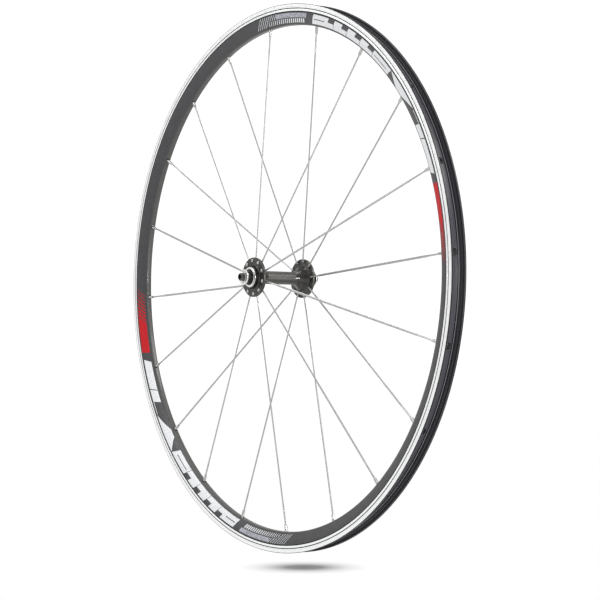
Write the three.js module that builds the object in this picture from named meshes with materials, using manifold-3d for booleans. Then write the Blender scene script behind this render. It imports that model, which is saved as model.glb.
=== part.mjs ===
// Road-bicycle front wheel without a tyre: clincher rim, 20 radial bladed spokes and a quick-release hub
// on two cartridge bearings. Millimetres, +Z up, the axle along Y, the origin at the wheel's centre.
// Left is -Y and right is +Y. Angles about the axle start at +Z and grow towards +X.
import * as THREE from "three";
import { mergeVertices } from "three/addons/utils/BufferGeometryUtils.js";
import Module from "manifold-3d";

const wasm = await Module();
wasm.setup();

// ---------------------------------------------------------------- driving dimensions

// Rim: a 622 mm bead seat with a 15 mm channel.
const BEAD_SEAT_R = 311;
const RIM_R = 316.5;
const RIM_HALF_WIDTH = 9.85;
const BRAKE_TRACK_HEIGHT = 8.9;
const RIM_DEPTH = 24.1;
const WELL_R = 309.3;
const WELL_HALF_WIDTH = 4;
const HOOK_HALF_GAP = 7.5;
const SPOKE_BED_R = 294.5; // the floor of the hollow between the two walls, where the nipples seat
const RIM_SEGMENTS = 60;
const VALVE_HOLE_R = 3.25;
const ACCESS_HOLE_R = 4.1;
const NIPPLE_HOLE_R = 2.4;

// Lacing: odd and even spokes go to opposite flanges, all radial.
const SPOKES = 20;
const SPOKE_STEP = 360 / SPOKES;
const FIRST_SPOKE_ANGLE = -3.15;
const VALVE_ANGLE = FIRST_SPOKE_ANGLE + 9.5 * SPOKE_STEP;

// Hub shell.
const FLANGE_R = 22.8;
const FLANGE_OUTER_Y = 36.2;
const FLANGE_THICKNESS = 3.2;
const SPOKE_CIRCLE_R = 19.05;
const SPOKE_HOLE_R = 1.35;
const WAIST_R = 7.6;
const BOSS_R = 13.3;
const SHELL_END_Y = 40.2;
const SHELL_SEGMENTS = 30;

// Axle and what is threaded or stacked on it; the locknuts' outer faces are 100 mm apart.
const DROPOUT_Y = 50;
const AXLE_END_Y = 54.5;
const AXLE_R = 5;
const THREAD_R = 4.5;
const AXLE_BORE_R = 2.65;
const LOCKNUT_R = 9;
const LOCKNUT_THICKNESS = 1.9;
const SPACER_R = 8;
const DUST_CAP_R = 11.7;

// Cartridge bearing, 10 x 22 x 6.
const BEARING_INNER_Y = 32.4;
const BEARING_WIDTH = 6;
const BEARING_R = 11;
const BALL_PITCH_R = 8;
const BALL_R = 1.5;
const BALLS = 9;
const GROOVE_CLEARANCE = 0.2;
const CAGE_HALF_THICKNESS = 0.45;

// Spoke and nipple.
const WIRE_R = 1;
const HEAD_R = 2.1;
const HEAD_HEIGHT = 0.85;
const ELBOW_R = 2.4;
const BLADE_HALF_WIDTH = 1.35;
const BLADE_HALF_THICKNESS = 0.4;
const BLADE_START = 15; // from the elbow
const BLADE_END = 28; // from the nipple's seat
const BLADE_TAPER = 6;
const NIPPLE_HEAD_R = 2.7;
const NIPPLE_NECK_R = 1.9;
const NIPPLE_BORE_R = 1.35;
const NIPPLE_FLATS = 3.3;
const NIPPLE_GAP = 0.4; // between its head and the seat, which the head meets at a slant
const NIPPLE_TOP = 2.4; // outwards from the seat
const NIPPLE_TIP = -9.4; // towards the hub from the seat

const ASSEMBLY_GAP = 0.15;
const SLIP_GAP = 0.2;

// The rim is a polygon whose corners lie on its true circles, and each spoke meets it at the middle of a facet.
const SEAT_R = SPOKE_BED_R * Math.cos(Math.PI / RIM_SEGMENTS);

// ---------------------------------------------------------------- materials

const paint = (color, metalness, roughness) => new THREE.MeshStandardMaterial({ color, metalness, roughness });
const MATERIALS = {
  rim: paint(0x3c3c40, 0.6, 0.4),
  spoke: paint(0xb9bbbb, 1, 0.3),
  nipple: paint(0xc9c9c4, 1, 0.3),
  shell: paint(0x33332f, 0.7, 0.35),
  axle: paint(0x3a3a38, 0.8, 0.45),
  spacer: paint(0x2c2c2a, 0.4, 0.5),
  polished: paint(0xd8d9d6, 1, 0.2),
  bearingSteel: paint(0xa8aaad, 1, 0.25),
  seal: paint(0x191919, 0, 0.8),
};

// ---------------------------------------------------------------- helpers

const radians = THREE.MathUtils.degToRad;

// The closed surface of a geometry as a solid that can be cut or joined.
function solid(geometry) {
  const bare = geometry.clone();
  bare.deleteAttribute("normal");
  bare.deleteAttribute("uv");
  const merged = mergeVertices(bare, 1e-4);
  return new wasm.Manifold(
    new wasm.Mesh({
      numProp: 3,
      vertProperties: merged.attributes.position.array,
      triVerts: new Uint32Array(merged.index.array),
    }),
  );
}

// A solid's surface as a geometry that can be drawn.
function surface(body) {
  const mesh = body.getMesh();
  const geometry = new THREE.BufferGeometry();
  geometry.setAttribute("position", new THREE.BufferAttribute(new Float32Array(mesh.vertProperties), 3));
  geometry.setIndex(new THREE.BufferAttribute(new Uint32Array(mesh.triVerts), 1));
  const flat = geometry.toNonIndexed();
  flat.computeVertexNormals();
  return flat;
}

// A ring turned about the axle from a closed loop of [radius, y] points, with the material on the loop's left.
function turned(loop, segments, firstAngle = 0) {
  const points = [...loop, loop[0]].map(([r, y]) => new THREE.Vector2(r, y));
  return new THREE.LatheGeometry(points, segments, radians(firstAngle), Math.PI * 2);
}

// The whole loop of a section that is the same on both sides of y = 0, from the half with y > 0 listed outwards.
function mirrored(half) {
  const otherSide = half.map(([r, y]) => [r, -y]);
  return [...otherSide, ...half.toReversed()];
}

// A cylinder from one point to another.
function drill(from, to, radius, sides) {
  const way = to.clone().sub(from);
  const geometry = new THREE.CylinderGeometry(radius, radius, way.length(), sides);
  geometry.applyQuaternion(new THREE.Quaternion().setFromUnitVectors(new THREE.Vector3(0, 1, 0), way.normalize()));
  const middle = from.clone().add(to).multiplyScalar(0.5);
  return geometry.translate(middle.x, middle.y, middle.z);
}

// Joins rings of equally many points into one closed skin. An open loft is capped at both ends, and a looped one
// joins its last ring to its first, as the wall of a tube does.
function loft(rings, looped = false) {
  const sides = rings[0].length;
  const index = [];
  const spans = looped ? rings.length : rings.length - 1;
  for (let i = 0; i < spans; i++) {
    const a = i * sides;
    const b = ((i + 1) % rings.length) * sides;
    for (let j = 0; j < sides; j++) {
      const k = (j + 1) % sides;
      index.push(a + j, a + k, b + k, a + j, b + k, b + j);
    }
  }
  if (!looped) {
    const last = (rings.length - 1) * sides;
    for (let j = 1; j < sides - 1; j++) {
      index.push(0, j + 1, j, last, last + j, last + j + 1);
    }
  }
  const geometry = new THREE.BufferGeometry().setFromPoints(rings.flat());
  geometry.setIndex(index);
  geometry.computeVertexNormals();
  return geometry;
}

// ---------------------------------------------------------------- where each spoke runs

// A spoke's own plane: out is its radial direction, across is tangential, and outboard points to its flange's side.
function spokePlane(number) {
  const angle = radians(FIRST_SPOKE_ANGLE + number * SPOKE_STEP);
  const side = number % 2 === 0 ? -1 : 1;
  return {
    out: new THREE.Vector3(Math.sin(angle), 0, Math.cos(angle)),
    outboard: new THREE.Vector3(0, side, 0),
    across: new THREE.Vector3(Math.cos(angle), 0, -Math.sin(angle)).multiplyScalar(-side),
  };
}

const inPlane = (plane, r, v) => plane.out.clone().multiplyScalar(r).addScaledVector(plane.outboard, v);

// The elbow starts here and turns until the wire points at the nipple's seat, which lies on y = 0.
const ELBOW_START_V = FLANGE_OUTER_Y - FLANGE_THICKNESS + 0.5;
const ELBOW_TURN = (() => {
  let turn = Math.PI / 2;
  for (let pass = 0; pass < 4; pass++) {
    const r = SPOKE_CIRCLE_R + ELBOW_R * (1 - Math.cos(turn));
    const v = ELBOW_START_V - ELBOW_R * Math.sin(turn);
    turn = Math.PI / 2 - Math.atan2(v, SEAT_R - r);
  }
  return turn;
})();

// A point that lies a given way along the spoke's line from the nipple's seat, positive away from the hub.
function alongSpoke(plane, distance) {
  return inPlane(plane, SEAT_R + distance * Math.sin(ELBOW_TURN), -distance * Math.cos(ELBOW_TURN));
}

// The wire's direction and the normal to it in the spoke's plane, after turning through part of the elbow.
function heading(plane, turn) {
  const forward = inPlane(plane, Math.sin(turn), -Math.cos(turn));
  return { forward, normal: new THREE.Vector3().crossVectors(forward, plane.across) };
}

function ring(centre, across, normal, halfWidth, halfThickness, sides) {
  return Array.from({ length: sides }, (_, i) => {
    const a = (2 * Math.PI * (i + 0.5)) / sides;
    return centre
      .clone()
      .addScaledVector(across, halfWidth * Math.cos(a))
      .addScaledVector(normal, halfThickness * Math.sin(a));
  });
}

// ---------------------------------------------------------------- spokes and nipples

function spoke(number) {
  const plane = spokePlane(number);
  const sides = 6;
  const rings = [];
  const add = (centre, turn, halfWidth, halfThickness = halfWidth) =>
    rings.push(ring(centre, plane.across, heading(plane, turn).normal, halfWidth, halfThickness, sides));

  const headBottom = FLANGE_OUTER_Y + ASSEMBLY_GAP;
  add(inPlane(plane, SPOKE_CIRCLE_R, headBottom + HEAD_HEIGHT), 0, HEAD_R * 0.7);
  add(inPlane(plane, SPOKE_CIRCLE_R, headBottom + HEAD_HEIGHT * 0.5), 0, HEAD_R);
  add(inPlane(plane, SPOKE_CIRCLE_R, headBottom), 0, WIRE_R);
  for (const share of [0, 0.5, 1]) {
    const turn = ELBOW_TURN * share;
    const r = SPOKE_CIRCLE_R + ELBOW_R * (1 - Math.cos(turn));
    add(inPlane(plane, r, ELBOW_START_V - ELBOW_R * Math.sin(turn)), turn, WIRE_R);
  }
  const elbowEnd = -(SEAT_R - SPOKE_CIRCLE_R - ELBOW_R * (1 - Math.cos(ELBOW_TURN))) / Math.sin(ELBOW_TURN);
  add(alongSpoke(plane, elbowEnd + BLADE_START), ELBOW_TURN, WIRE_R);
  add(alongSpoke(plane, elbowEnd + BLADE_START + BLADE_TAPER), ELBOW_TURN, BLADE_HALF_WIDTH, BLADE_HALF_THICKNESS);
  add(alongSpoke(plane, -BLADE_END - BLADE_TAPER), ELBOW_TURN, BLADE_HALF_WIDTH, BLADE_HALF_THICKNESS);
  add(alongSpoke(plane, -BLADE_END), ELBOW_TURN, WIRE_R);
  add(alongSpoke(plane, NIPPLE_TOP - 0.8), ELBOW_TURN, WIRE_R);
  return loft(rings);
}

// A nipple is a tube: a head inside the rim, a round neck in the hole and a square drive outside it.
function nipple(number) {
  const plane = spokePlane(number);
  const { normal } = heading(plane, ELBOW_TURN);
  const sides = 8;
  const round = (distance, radius) => ring(alongSpoke(plane, distance), plane.across, normal, radius, radius, sides);
  const square = (distance) => {
    const flat = NIPPLE_FLATS / 2;
    const corner = 0.55 * flat;
    const outline = [
      [flat, corner],
      [corner, flat],
      [-corner, flat],
      [-flat, corner],
      [-flat, -corner],
      [-corner, -flat],
      [corner, -flat],
      [flat, -corner],
    ];
    const centre = alongSpoke(plane, distance);
    return outline.map(([a, n]) => centre.clone().addScaledVector(plane.across, a).addScaledVector(normal, n));
  };
  return loft(
    [
      round(NIPPLE_TIP, NIPPLE_BORE_R),
      square(NIPPLE_TIP),
      square(-3.4),
      round(-3.1, NIPPLE_NECK_R),
      round(NIPPLE_GAP, NIPPLE_NECK_R),
      round(NIPPLE_GAP, NIPPLE_HEAD_R),
      round(NIPPLE_TOP, 0.75 * NIPPLE_HEAD_R),
      round(NIPPLE_TOP, NIPPLE_BORE_R),
    ],
    true,
  );
}

// ---------------------------------------------------------------- rim

const TRACK_BOTTOM_R = RIM_R - BRAKE_TRACK_HEIGHT;
const APEX_R = RIM_R - RIM_DEPTH;

const rimSection = mirrored([
  [APEX_R, 1.6],
  [APEX_R + 1.1, 3.3],
  [APEX_R + 2.9, 4.7],
  [TRACK_BOTTOM_R - 6.4, 8.1],
  [TRACK_BOTTOM_R, RIM_HALF_WIDTH - 0.25],
  [TRACK_BOTTOM_R + 0.15, RIM_HALF_WIDTH],
  [RIM_R, RIM_HALF_WIDTH],
  [RIM_R, HOOK_HALF_GAP + 0.5],
  [RIM_R - 1.2, HOOK_HALF_GAP],
  [BEAD_SEAT_R, HOOK_HALF_GAP + 0.6],
  [BEAD_SEAT_R, WELL_HALF_WIDTH + 0.6],
  [WELL_R, WELL_HALF_WIDTH],
]);

const rimHollow = mirrored([
  [SPOKE_BED_R, 3.6],
  [TRACK_BOTTOM_R - 5, 7.3],
  [WELL_R - 1.4, 7.5],
]);

function rim() {
  const firstAngle = FIRST_SPOKE_ANGLE + 180 / RIM_SEGMENTS;
  const skin = solid(turned(rimSection, RIM_SEGMENTS, firstAngle));
  const hollow = solid(turned(rimHollow, RIM_SEGMENTS, firstAngle));
  const middleOfHollow = (SPOKE_BED_R + WELL_R) / 2 - SPOKE_BED_R;
  let cutters = hollow;
  for (let i = 0; i < SPOKES; i++) {
    const plane = spokePlane(i);
    const nippleHole = drill(alongSpoke(plane, -6), alongSpoke(plane, middleOfHollow), NIPPLE_HOLE_R, 6);
    const accessHole = drill(inPlane(plane, WELL_R - 4, 0), inPlane(plane, RIM_R, 0), ACCESS_HOLE_R, 8);
    cutters = cutters.add(solid(nippleHole)).add(solid(accessHole));
  }
  const valve = new THREE.Vector3(Math.sin(radians(VALVE_ANGLE)), 0, Math.cos(radians(VALVE_ANGLE)));
  const valveHole = drill(
    valve.clone().multiplyScalar(APEX_R - 3),
    valve.clone().multiplyScalar(RIM_R),
    VALVE_HOLE_R,
    24,
  );
  return surface(skin.subtract(cutters.add(solid(valveHole))));
}

// ---------------------------------------------------------------- hub shell

const FLANGE_INNER_Y = FLANGE_OUTER_Y - FLANGE_THICKNESS;
const BEARING_OUTER_Y = BEARING_INNER_Y + BEARING_WIDTH;

function hubShell() {
  const outside = [
    [WAIST_R, 19],
    [WAIST_R + 0.7, 22.5],
    [WAIST_R + 2.6, 26],
    [WAIST_R + 6, 30],
    [WAIST_R + 8.2, FLANGE_INNER_Y],
    [FLANGE_R - 0.4, FLANGE_INNER_Y],
    [FLANGE_R, FLANGE_INNER_Y + 0.4],
    [FLANGE_R, FLANGE_OUTER_Y - 0.4],
    [FLANGE_R - 0.4, FLANGE_OUTER_Y],
    [BOSS_R + 2, FLANGE_OUTER_Y],
    [BOSS_R + 0.5, FLANGE_OUTER_Y + 0.6],
    [BOSS_R, FLANGE_OUTER_Y + 1.8],
    [BOSS_R, SHELL_END_Y - 0.4],
    [BOSS_R - 0.4, SHELL_END_Y],
  ];
  const inside = [
    [DUST_CAP_R + SLIP_GAP, SHELL_END_Y],
    [DUST_CAP_R + SLIP_GAP, BEARING_OUTER_Y],
    [BEARING_R + SLIP_GAP, BEARING_OUTER_Y],
    [BEARING_R + SLIP_GAP, BEARING_INNER_Y - ASSEMBLY_GAP],
    [AXLE_R + 1.2, BEARING_INNER_Y - ASSEMBLY_GAP],
  ];
  const rightHalf = [...outside, ...inside];
  const leftHalf = rightHalf.map(([r, y]) => [r, -y]).reverse();
  const blank = solid(turned([...leftHalf, ...rightHalf], SHELL_SEGMENTS, FIRST_SPOKE_ANGLE));
  let holes = null;
  for (let i = 0; i < SPOKES; i++) {
    const plane = spokePlane(i);
    const hole = solid(
      drill(
        inPlane(plane, SPOKE_CIRCLE_R, FLANGE_INNER_Y - 1),
        inPlane(plane, SPOKE_CIRCLE_R, FLANGE_OUTER_Y + 1),
        SPOKE_HOLE_R,
        8,
      ),
    );
    holes = holes ? holes.add(hole) : hole;
  }
  return surface(blank.subtract(holes));
}

// ---------------------------------------------------------------- axle, bearings and end pieces

// A turned piece given for the right side; side -1 gives its mirror image on the left.
function endPiece(loop, segments, side) {
  const own = side > 0 ? loop : loop.map(([r, y]) => [r, -y]).reverse();
  return turned(own, segments);
}

const axleLoop = [
  [AXLE_BORE_R, AXLE_END_Y],
  [AXLE_BORE_R, -AXLE_END_Y],
  [THREAD_R - 0.5, -AXLE_END_Y],
  [THREAD_R, -AXLE_END_Y + 0.6],
  [THREAD_R, -46],
  [AXLE_R, -46],
  [AXLE_R, 46],
  [THREAD_R, 46],
  [THREAD_R, AXLE_END_Y - 0.6],
  [THREAD_R - 0.5, AXLE_END_Y],
];

const BEARING_MIDDLE_Y = (BEARING_INNER_Y + BEARING_OUTER_Y) / 2;
const GROOVE_R = BALL_R + GROOVE_CLEARANCE;
const OUTER_LAND_R = BALL_PITCH_R + 1.15;
const INNER_LAND_R = BALL_PITCH_R - 1.15;
const grooveHalfWidth = Math.sqrt(GROOVE_R ** 2 - (OUTER_LAND_R - BALL_PITCH_R) ** 2);

const outerRaceLoop = [
  [BEARING_R, BEARING_INNER_Y],
  [BEARING_R, BEARING_OUTER_Y],
  [OUTER_LAND_R, BEARING_OUTER_Y],
  [OUTER_LAND_R, BEARING_MIDDLE_Y + grooveHalfWidth],
  [BALL_PITCH_R + GROOVE_R, BEARING_MIDDLE_Y + 0.45],
  [BALL_PITCH_R + GROOVE_R, BEARING_MIDDLE_Y - 0.45],
  [OUTER_LAND_R, BEARING_MIDDLE_Y - grooveHalfWidth],
  [OUTER_LAND_R, BEARING_INNER_Y],
];

const innerRaceLoop = [
  [AXLE_R + SLIP_GAP, BEARING_OUTER_Y],
  [AXLE_R + SLIP_GAP, BEARING_INNER_Y],
  [INNER_LAND_R, BEARING_INNER_Y],
  [INNER_LAND_R, BEARING_MIDDLE_Y - grooveHalfWidth],
  [BALL_PITCH_R - GROOVE_R, BEARING_MIDDLE_Y - 0.45],
  [BALL_PITCH_R - GROOVE_R, BEARING_MIDDLE_Y + 0.45],
  [INNER_LAND_R, BEARING_MIDDLE_Y + grooveHalfWidth],
  [INNER_LAND_R, BEARING_OUTER_Y],
];

// A flat rubber ring between the lands of the two races, with its inner face at y.
const sealLoop = (y) => [
  [INNER_LAND_R + ASSEMBLY_GAP, y + 0.6],
  [INNER_LAND_R + ASSEMBLY_GAP, y],
  [OUTER_LAND_R - ASSEMBLY_GAP, y],
  [OUTER_LAND_R - ASSEMBLY_GAP, y + 0.6],
];

function ballSet(side) {
  const cageLoop = [
    [BALL_PITCH_R - CAGE_HALF_THICKNESS, BEARING_MIDDLE_Y + 0.7],
    [BALL_PITCH_R - CAGE_HALF_THICKNESS, BEARING_MIDDLE_Y - 0.7],
    [BALL_PITCH_R + CAGE_HALF_THICKNESS, BEARING_MIDDLE_Y - 0.7],
    [BALL_PITCH_R + CAGE_HALF_THICKNESS, BEARING_MIDDLE_Y + 0.7],
  ];
  let joined = solid(endPiece(cageLoop, 2 * BALLS, side));
  for (let i = 0; i < BALLS; i++) {
    const angle = (2 * Math.PI * i) / BALLS;
    const ball = new THREE.SphereGeometry(BALL_R, 6, 4);
    ball.translate(BALL_PITCH_R * Math.sin(angle), side * BEARING_MIDDLE_Y, BALL_PITCH_R * Math.cos(angle));
    joined = joined.add(solid(ball));
  }
  return surface(joined);
}

const DUST_CAP_BACK_Y = BEARING_OUTER_Y + SLIP_GAP;
const dustCapLoop = [
  [SPACER_R + 0.45, 41.7],
  [SPACER_R + 0.45, DUST_CAP_BACK_Y],
  [DUST_CAP_R, DUST_CAP_BACK_Y],
  [DUST_CAP_R, 40.6],
  [DUST_CAP_R - 0.5, 41],
  [SPACER_R + 1.3, 41.3],
  [SPACER_R + 1.1, 41.7],
];

const SPACER_OUTER_Y = DROPOUT_Y - LOCKNUT_THICKNESS - ASSEMBLY_GAP;
const spacerLoop = [
  [AXLE_R + SLIP_GAP, SPACER_OUTER_Y],
  [AXLE_R + SLIP_GAP, BEARING_OUTER_Y + ASSEMBLY_GAP],
  [INNER_LAND_R - 0.25, BEARING_OUTER_Y + ASSEMBLY_GAP],
  [INNER_LAND_R - 0.25, BEARING_OUTER_Y + 0.8],
  [SPACER_R, BEARING_OUTER_Y + 1.2],
  [SPACER_R, SPACER_OUTER_Y - 0.8],
  [SPACER_R - 0.6, SPACER_OUTER_Y],
];

const locknutLoop = [
  [THREAD_R + SLIP_GAP, DROPOUT_Y],
  [THREAD_R + SLIP_GAP, DROPOUT_Y - LOCKNUT_THICKNESS],
  [LOCKNUT_R - 0.4, DROPOUT_Y - LOCKNUT_THICKNESS],
  [LOCKNUT_R, DROPOUT_Y - LOCKNUT_THICKNESS + 0.4],
  [LOCKNUT_R, DROPOUT_Y - 0.5],
  [LOCKNUT_R - 0.5, DROPOUT_Y],
];

// ---------------------------------------------------------------- assembly

const wheel = new THREE.Group();

function place(name, geometry, material) {
  const mesh = new THREE.Mesh(geometry, material);
  mesh.name = name;
  wheel.add(mesh);
}

place("rim", rim(), MATERIALS.rim);
place("hub_shell", hubShell(), MATERIALS.shell);
place("axle", turned(axleLoop, 20), MATERIALS.axle);

for (let i = 0; i < SPOKES; i++) {
  const label = String(i + 1).padStart(2, "0");
  place(`spoke_${label}`, spoke(i), MATERIALS.spoke);
  place(`nipple_${label}`, nipple(i), MATERIALS.nipple);
}

for (const [label, side] of [["left", -1], ["right", 1]]) {
  place(`bearing_outer_race_${label}`, endPiece(outerRaceLoop, 24, side), MATERIALS.bearingSteel);
  place(`bearing_inner_race_${label}`, endPiece(innerRaceLoop, 20, side), MATERIALS.bearingSteel);
  place(`bearing_ball_set_${label}`, ballSet(side), MATERIALS.bearingSteel);
  place(`bearing_outer_seal_${label}`, endPiece(sealLoop(BEARING_OUTER_Y - 0.8), 24, side), MATERIALS.seal);
  place(`bearing_inner_seal_${label}`, endPiece(sealLoop(BEARING_INNER_Y + 0.2), 24, side), MATERIALS.seal);
  place(`dust_cap_${label}`, endPiece(dustCapLoop, 24, side), MATERIALS.polished);
  place(`spacer_${label}`, endPiece(spacerLoop, 20, side), MATERIALS.spacer);
  place(`locknut_${label}`, endPiece(locknutLoop, 24, side), MATERIALS.polished);
}

export default wheel;
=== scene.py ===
"""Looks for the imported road-bicycle front wheel.

Each visible piece is remade as a fine mesh with a procedural material, and rides on the CAD body that it
belongs to. The bearings are hidden inside the hub and keep their CAD meshes. Lengths are millimetres and
angles degrees, but lights, the camera's place and the scales of noises go by the metre. Angles about the axle
start at +Z and grow towards +X, and the left side is -Y.
"""

import math

import bpy
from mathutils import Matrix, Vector


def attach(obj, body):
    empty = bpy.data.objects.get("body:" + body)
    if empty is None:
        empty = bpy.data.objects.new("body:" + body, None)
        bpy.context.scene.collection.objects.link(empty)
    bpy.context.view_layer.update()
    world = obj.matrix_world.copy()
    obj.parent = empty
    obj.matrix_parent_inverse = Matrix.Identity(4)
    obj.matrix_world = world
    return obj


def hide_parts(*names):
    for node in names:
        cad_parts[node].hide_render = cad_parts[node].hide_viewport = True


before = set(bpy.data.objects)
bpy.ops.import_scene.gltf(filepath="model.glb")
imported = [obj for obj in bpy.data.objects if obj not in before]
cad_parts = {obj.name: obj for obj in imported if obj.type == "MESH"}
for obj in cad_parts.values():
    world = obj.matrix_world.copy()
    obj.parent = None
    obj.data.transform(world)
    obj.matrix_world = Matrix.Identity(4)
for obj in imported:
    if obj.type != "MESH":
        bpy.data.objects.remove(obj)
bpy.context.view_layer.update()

MM = 0.001
SIDES = {"left": -1, "right": 1}

# ---------------------------------------------------------------- sizes shared with the CAD solids

RIM_R = 316.49
TRACK_Y = 9.85
TRACK_BOTTOM_R = 307.6
WELL_R = 309.3
BED_R = 294.5
CREASE_R = 293.4
CREASE_Y = 3.5
SEAT_R = BED_R * math.cos(math.radians(3))

SPOKES = 20
SPOKE_STEP = 360 / SPOKES
FIRST_SPOKE = -3.15
VALVE_ANGLE = FIRST_SPOKE + 9.5 * SPOKE_STEP

SPOKE_CIRCLE_R = 19.05
FLANGE_R = 22.8
FLANGE_OUTER_Y = 36.2
FLANGE_INNER_Y = 33
SHELL_END_Y = 40.2
BOSS_R = 13.3
WAIST_R = 7.6

WIRE_R = 1
ELBOW_R = 2.4
ELBOW_START_Y = FLANGE_INNER_Y + 0.5
NIPPLE_BORE_R = 1.35


# ---------------------------------------------------------------- mesh helpers


def polar(r, y, degrees):
    """A point from its distance from the axle, its y and its angle about the axle."""
    angle = math.radians(degrees)
    return Vector((r * math.sin(angle), y, r * math.cos(angle)))


CORNER_SHARE = 0.48
SMALLEST_CUT = 0.01


def softened(loop, usual_radius, steps=3):
    """A closed loop of (radius, y) points with its corners rounded. A point's third value is its own
    rounding. No rounding takes more than CORNER_SHARE of either side that meets at its corner."""
    soft = []
    for i, point in enumerate(loop):
        corner = Vector(point[:2])
        back = Vector(loop[i - 1][:2]) - corner
        ahead = Vector(loop[(i + 1) % len(loop)][:2]) - corner
        rounding = point[2] if len(point) > 2 else usual_radius
        half_turn = (math.pi - back.angle(ahead)) / 2
        cut = min(rounding * math.tan(half_turn), CORNER_SHARE * back.length, CORNER_SHARE * ahead.length)
        if cut < SMALLEST_CUT:
            soft.append(corner)
            continue
        start = corner + back.normalized() * cut
        end = corner + ahead.normalized() * cut
        for step in range(steps + 1):
            t = step / steps
            soft.append(start * (1 - t) ** 2 + corner * 2 * t * (1 - t) + end * t**2)
    return [tuple(point) for point in soft]


def mirrored(half):
    """The whole loop of a section that is the same on both sides of y = 0, from its half with y > 0."""
    other = [(p[0], -p[1], *p[2:]) for p in half]
    return other + half[::-1]


def for_side(loop, side):
    """A loop given for the right side, or its mirror image for the left one."""
    return list(loop) if side > 0 else [(p[0], -p[1], *p[2:]) for p in loop][::-1]


def turned(loop, segments, reshape=None):
    """The skin of a loop of (radius, y) points turned about the axle, with the material on the loop's left.
    reshape may move a point, given its radius, y and angle."""
    reshape = reshape or (lambda r, y, angle: (r, y))
    count = len(loop)
    vertices = []
    for i in range(segments):
        angle = 360 * i / segments
        vertices += [polar(*reshape(r, y, angle), angle) for r, y in loop]
    faces = []
    for i in range(segments):
        here, there = i * count, (i + 1) % segments * count
        for j in range(count):
            k = (j + 1) % count
            faces.append((here + j, there + j, there + k, here + k))
    return vertices, faces


def lofted(rings, looped=False):
    """The skin over rings of equally many points, capped at both ends unless it is looped."""
    sides = len(rings[0])
    faces = []
    for i in range(len(rings) if looped else len(rings) - 1):
        here, there = i * sides, (i + 1) % len(rings) * sides
        for j in range(sides):
            k = (j + 1) % sides
            faces.append((here + j, here + k, there + k, there + j))
    if not looped:
        last = (len(rings) - 1) * sides
        faces += [tuple(reversed(range(sides))), tuple(range(last, last + sides))]
    return [v for ring in rings for v in ring], faces


def joined(parts):
    """Several skins as one."""
    vertices, faces = [], []
    for part_vertices, part_faces in parts:
        start = len(vertices)
        vertices += part_vertices
        faces += [tuple(start + i for i in face) for face in part_faces]
    return vertices, faces


def make_object(name, skin, materials, material_of=None):
    """An object from a skin. material_of may pick each face's material, given the face's centre."""
    mesh = bpy.data.meshes.new(name)
    mesh.from_pydata([v * MM for v in skin[0]], [], skin[1])
    for material in materials:
        mesh.materials.append(material)
    if material_of:
        picked = [materials.index(material_of(face.center / MM)) for face in mesh.polygons]
        mesh.polygons.foreach_set("material_index", picked)
    made = bpy.data.objects.new(name, mesh)
    bpy.context.scene.collection.objects.link(made)
    return made


def smooth(piece, sharp_angle=32):
    """Smooth shading that keeps the edges that turn by more than the sharp angle."""
    piece.data.polygons.foreach_set("use_smooth", [True] * len(piece.data.polygons))
    piece.data.set_sharp_from_angle(angle=math.radians(sharp_angle))


def add_piece(name, skin, material, body, slot, *nodes):
    """A smooth piece on a CAD body, taking the place of any CAD nodes that are named. Its material slot is
    not used.
    """
    piece = make_object(name, skin, [material])
    smooth(piece)
    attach(piece, body)
    if nodes:
        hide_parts(*nodes)


def drill(start, end, radius, sides=32):
    """A round cutter from one point to another."""
    way = (end - start).normalized()
    across = way.orthogonal().normalized()
    normal = way.cross(across)
    turns = [math.tau * i / sides for i in range(sides)]
    circle = [radius * (across * math.cos(t) + normal * math.sin(t)) for t in turns]
    return lofted([[centre + point for point in circle] for centre in (start, end)])


def cut_holes(piece, drills, inside_material):
    """Cuts holes in a piece. The walls of the holes get the inside material."""
    cutter = make_object(piece.name + "_cutter", joined(drills), [inside_material])
    holes = piece.modifiers.new("holes", "BOOLEAN")
    holes.operation = "DIFFERENCE"
    holes.solver = "EXACT"
    holes.material_mode = "TRANSFER"
    holes.object = cutter
    graph = bpy.context.evaluated_depsgraph_get()
    piece.data = bpy.data.meshes.new_from_object(piece.evaluated_get(graph))
    piece.modifiers.clear()
    bpy.data.objects.remove(cutter)


# ---------------------------------------------------------------- materials


COAT_ROUGHNESS = 0.15


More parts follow.
